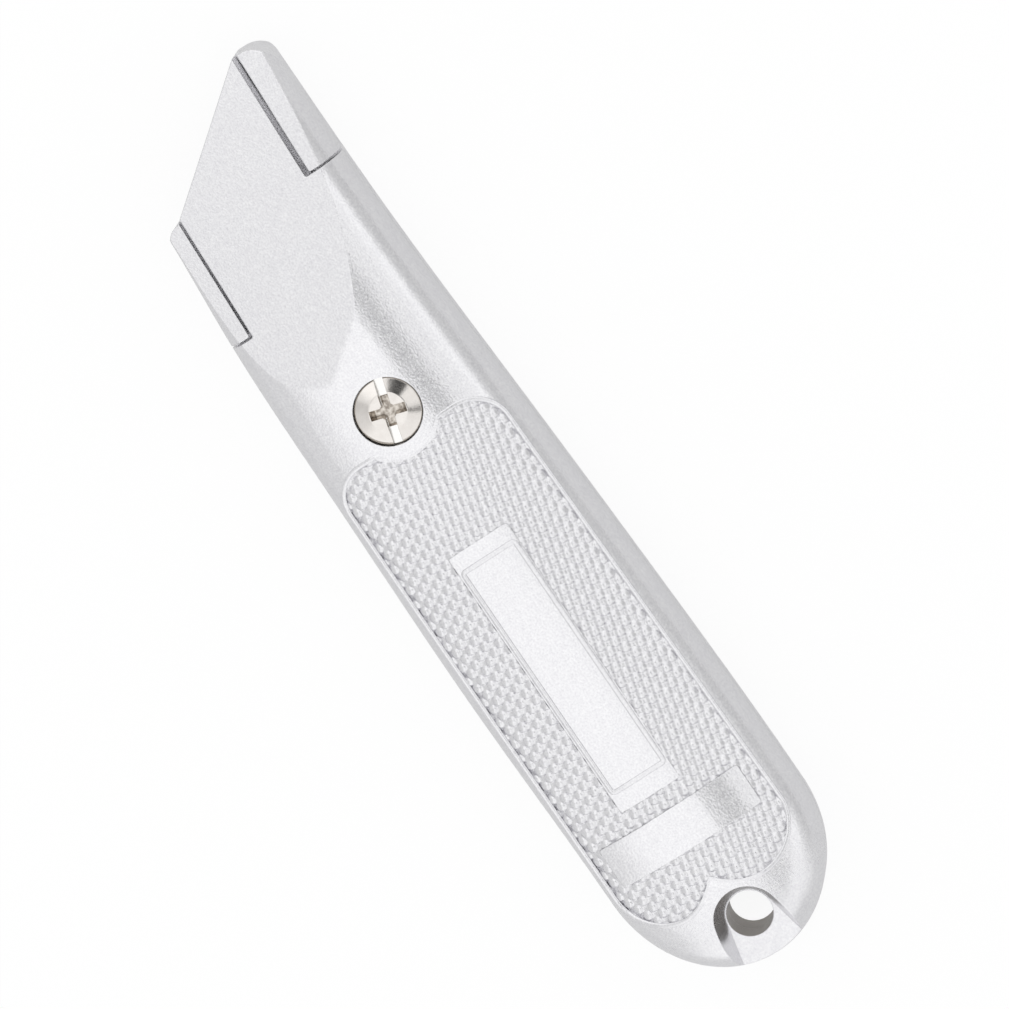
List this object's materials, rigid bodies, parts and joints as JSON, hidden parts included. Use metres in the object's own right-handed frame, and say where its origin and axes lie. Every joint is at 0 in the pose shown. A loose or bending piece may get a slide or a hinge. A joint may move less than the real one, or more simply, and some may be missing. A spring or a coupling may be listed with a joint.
{
  "type": "utility knife",
  "caption": "Fixed-blade utility knife: split cast handle held by a clamp screw, with studded grips, a blade seat in the nose, a spare-blade store and a lanyard hole.",
  "frame": {"origin": "bottom centre of the closed knife, which lies on its rear face", "axes": "+X from the nose to the tail, +Y towards the spine, +Z out of the front face, along the screw"},
  "size_m": [0.152, 0.0338, 0.0173],
  "materials": {
    "cast_body": "fine-grained silver lacquer over a zinc casting",
    "screw_plating": "bright nickel plate",
    "blade_steel": "ground carbon steel"
  },
  "bodies": {
    "rear": {"rear_shell": "cast_body"},
    "front": {"front_shell": "cast_body"},
    "screw": {"clamp_screw": "screw_plating"},
    "blade_low": {"spare_blade_1": "blade_steel"},
    "blade_middle": {"spare_blade_2": "blade_steel"},
    "blade_top": {"spare_blade_3": "blade_steel"}
  },
  "joints": [
    {"name": "cover_lift", "type": "slide", "parent": "rear", "child": "front", "axis": [0, 0, 1], "range_m": [0, 0.04]},
    {"name": "screw_turn", "type": "hinge", "parent": "front", "child": "screw", "pos_m": [-0.0218, -0.0014, 0.00865], "axis": [0, 0, 1], "range_deg": [0, 2400]},
    {"name": "low_blade_lift", "type": "slide", "parent": "rear", "child": "blade_low", "axis": [0, 0, 1], "range_m": [0, 0.01]},
    {"name": "middle_blade_lift", "type": "slide", "parent": "rear", "child": "blade_middle", "axis": [0, 0, 1], "range_m": [0, 0.02]},
    {"name": "top_blade_lift", "type": "slide", "parent": "rear", "child": "blade_top", "axis": [0, 0, 1], "range_m": [0, 0.03]}
  ],
  "couplings": [
    {"joint": "low_blade_lift", "follows": "cover_lift", "ratio": 0.25},
    {"joint": "middle_blade_lift", "follows": "cover_lift", "ratio": 0.5},
    {"joint": "top_blade_lift", "follows": "cover_lift", "ratio": 0.75}
  ]
}
